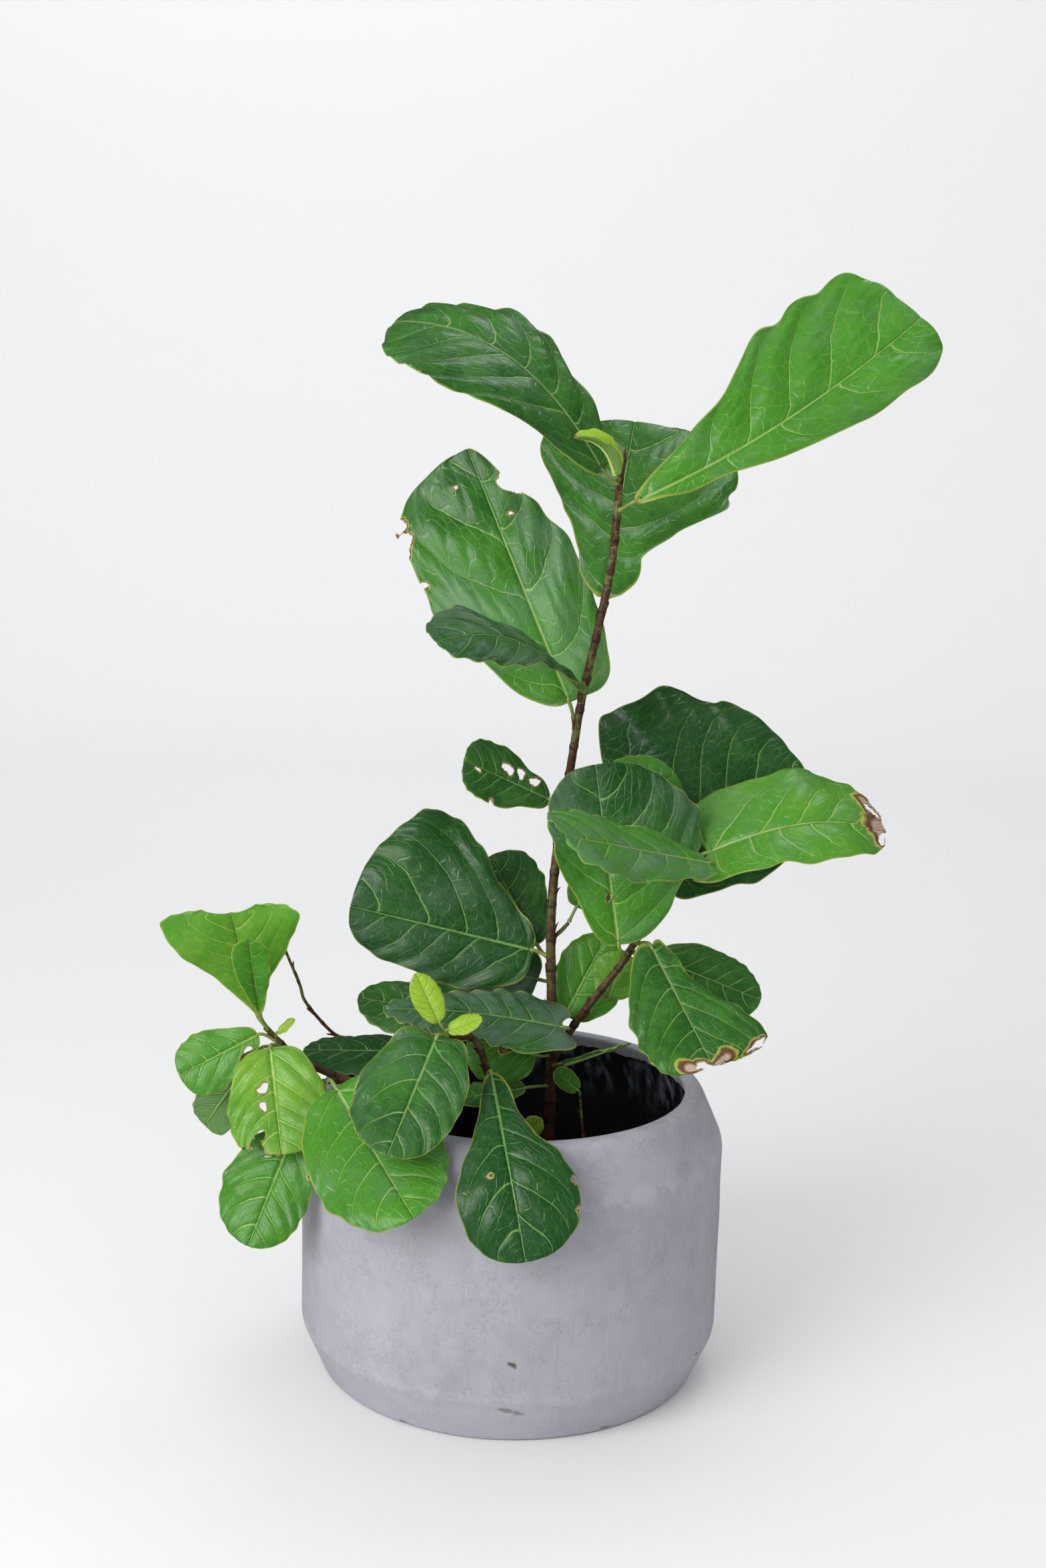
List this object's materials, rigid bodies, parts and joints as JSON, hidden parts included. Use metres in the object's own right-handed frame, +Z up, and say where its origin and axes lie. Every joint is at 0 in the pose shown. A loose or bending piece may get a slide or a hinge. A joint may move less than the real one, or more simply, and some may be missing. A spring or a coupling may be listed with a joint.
{
  "type": "potted fiddle leaf fig",
  "caption": "Young fig tree with large waisted leaves on woody stems, standing in soil in a wide round concrete planter with a bevelled foot and a sloping shoulder.",
  "frame": {"origin": "middle of the planter's flat underside, on the surface that it stands on", "axes": "+Z is up along the planter's axis, -Y is the side that the plant shows best, +X is to the right seen from there"},
  "size_m": [0.7018, 0.4516, 1.0344],
  "materials": {
    "concrete": "matte grey fibre concrete",
    "earth": "loose dark potting soil",
    "bark": "rough brown bark",
    "leaf_green": "leathery, half gloss",
    "young_green": "soft, half gloss"
  },
  "bodies": {
    "root": {"pot": "concrete", "soil": "earth", "main_stem": "bark", "front_stem": "bark", "left_stem": "bark", "soil_shoot": "bark", "leaf_crown_right": "leaf_green", "leaf_crown_left": "leaf_green", "leaf_crown_back": "leaf_green", "leaf_upper_left": "leaf_green", "leaf_upper_front": "leaf_green", "leaf_right_back": "leaf_green", "leaf_centre_upright": "leaf_green", "leaf_right_front": "leaf_green", "leaf_right_out": "leaf_green", "leaf_centre_back": "leaf_green", "leaf_small_left": "leaf_green", "leaf_big_left": "leaf_green", "leaf_behind_left": "leaf_green", "leaf_twig": "leaf_green", "leaf_fork": "leaf_green", "leaf_branch_small": "young_green", "leaf_right_drooping": "leaf_green", "leaf_right_low": "leaf_green", "leaf_under_branch": "leaf_green", "leaf_shoot": "leaf_green", "leaf_wide_front": "leaf_green", "leaf_left_back": "leaf_green", "leaf_shaded_back": "leaf_green", "leaf_dark_left": "leaf_green", "leaf_under_wide": "leaf_green", "leaf_front_glossy": "leaf_green", "leaf_in_pot": "leaf_green", "leaf_front_hanging": "leaf_green", "leaf_far_left_top": "leaf_green", "leaf_far_left_young": "young_green", "leaf_far_left_bud": "young_green", "leaf_far_left_side": "leaf_green", "leaf_far_left_holes": "leaf_green", "leaf_far_left_back": "leaf_green", "leaf_left_low": "leaf_green", "leaf_front_low": "leaf_green", "leaf_front_bud": "young_green", "leaf_front_small": "young_green", "leaf_pot_shoot": "leaf_green", "leaf_apex_young": "young_green"}
  },
  "joints": []
}
